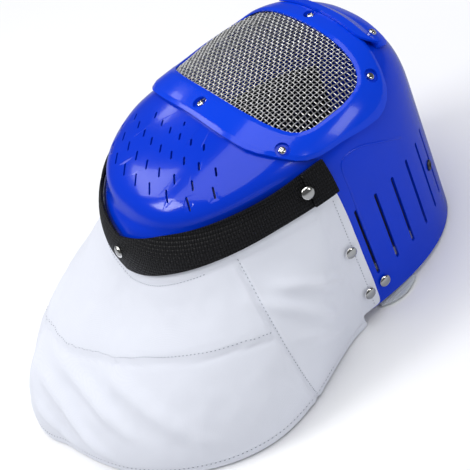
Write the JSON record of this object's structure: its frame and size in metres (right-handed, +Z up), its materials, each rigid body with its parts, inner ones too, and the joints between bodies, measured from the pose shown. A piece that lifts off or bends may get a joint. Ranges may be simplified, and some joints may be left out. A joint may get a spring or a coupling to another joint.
{
  "type": "fencing mask",
  "caption": "Fencing mask: a blue moulded shell with a woven wire window, louvre slots and vent slits, black chin webbing and a white throat bib, with a strap across its open back.",
  "frame": {"origin": "centre of the bounding box in plan, at the level of the surface the mask lies on", "axes": "+X to the wearer's left, +Y from the bib towards the crown, +Z up, which is forward out of the wearer's face as the mask lies on its open back"},
  "size_m": [0.2692, 0.3896, 0.1932],
  "materials": {
    "shell_plastic": "glossy moulded blue",
    "frame_plastic": "glossy moulded blue, a little brighter",
    "mesh_steel": "bright drawn wire, woven",
    "webbing_nylon": "black ribbed webbing",
    "bib_cloth": "cool white padded cloth",
    "strap_elastic": "pale elastic webbing",
    "nickel": "polished nickel",
    "eyelet_metal": "dark metal"
  },
  "bodies": {
    "root": {"helmet_shell": "shell_plastic", "window_bezel": "frame_plastic", "crown_plate": "frame_plastic", "face_mesh": "mesh_steel", "chin_webbing": "webbing_nylon", "bib": "bib_cloth", "back_strap": "strap_elastic", "screw_bottom": "nickel", "screw_low_left": "nickel", "screw_low_right": "nickel", "screw_high_left": "nickel", "screw_high_right": "nickel", "screw_top": "nickel", "screw_crown_left": "nickel", "screw_crown_right": "nickel", "rivet_chin": "nickel", "rivet_web_left": "nickel", "rivet_web_right": "nickel", "rivet_bib_front_left": "nickel", "rivet_bib_front_right": "nickel", "rivet_bib_rear_left": "nickel", "rivet_bib_rear_right": "nickel", "rivet_strap_left": "nickel", "rivet_strap_right": "nickel", "eyelet_left": "eyelet_metal", "eyelet_right": "eyelet_metal"}
  },
  "joints": []
}
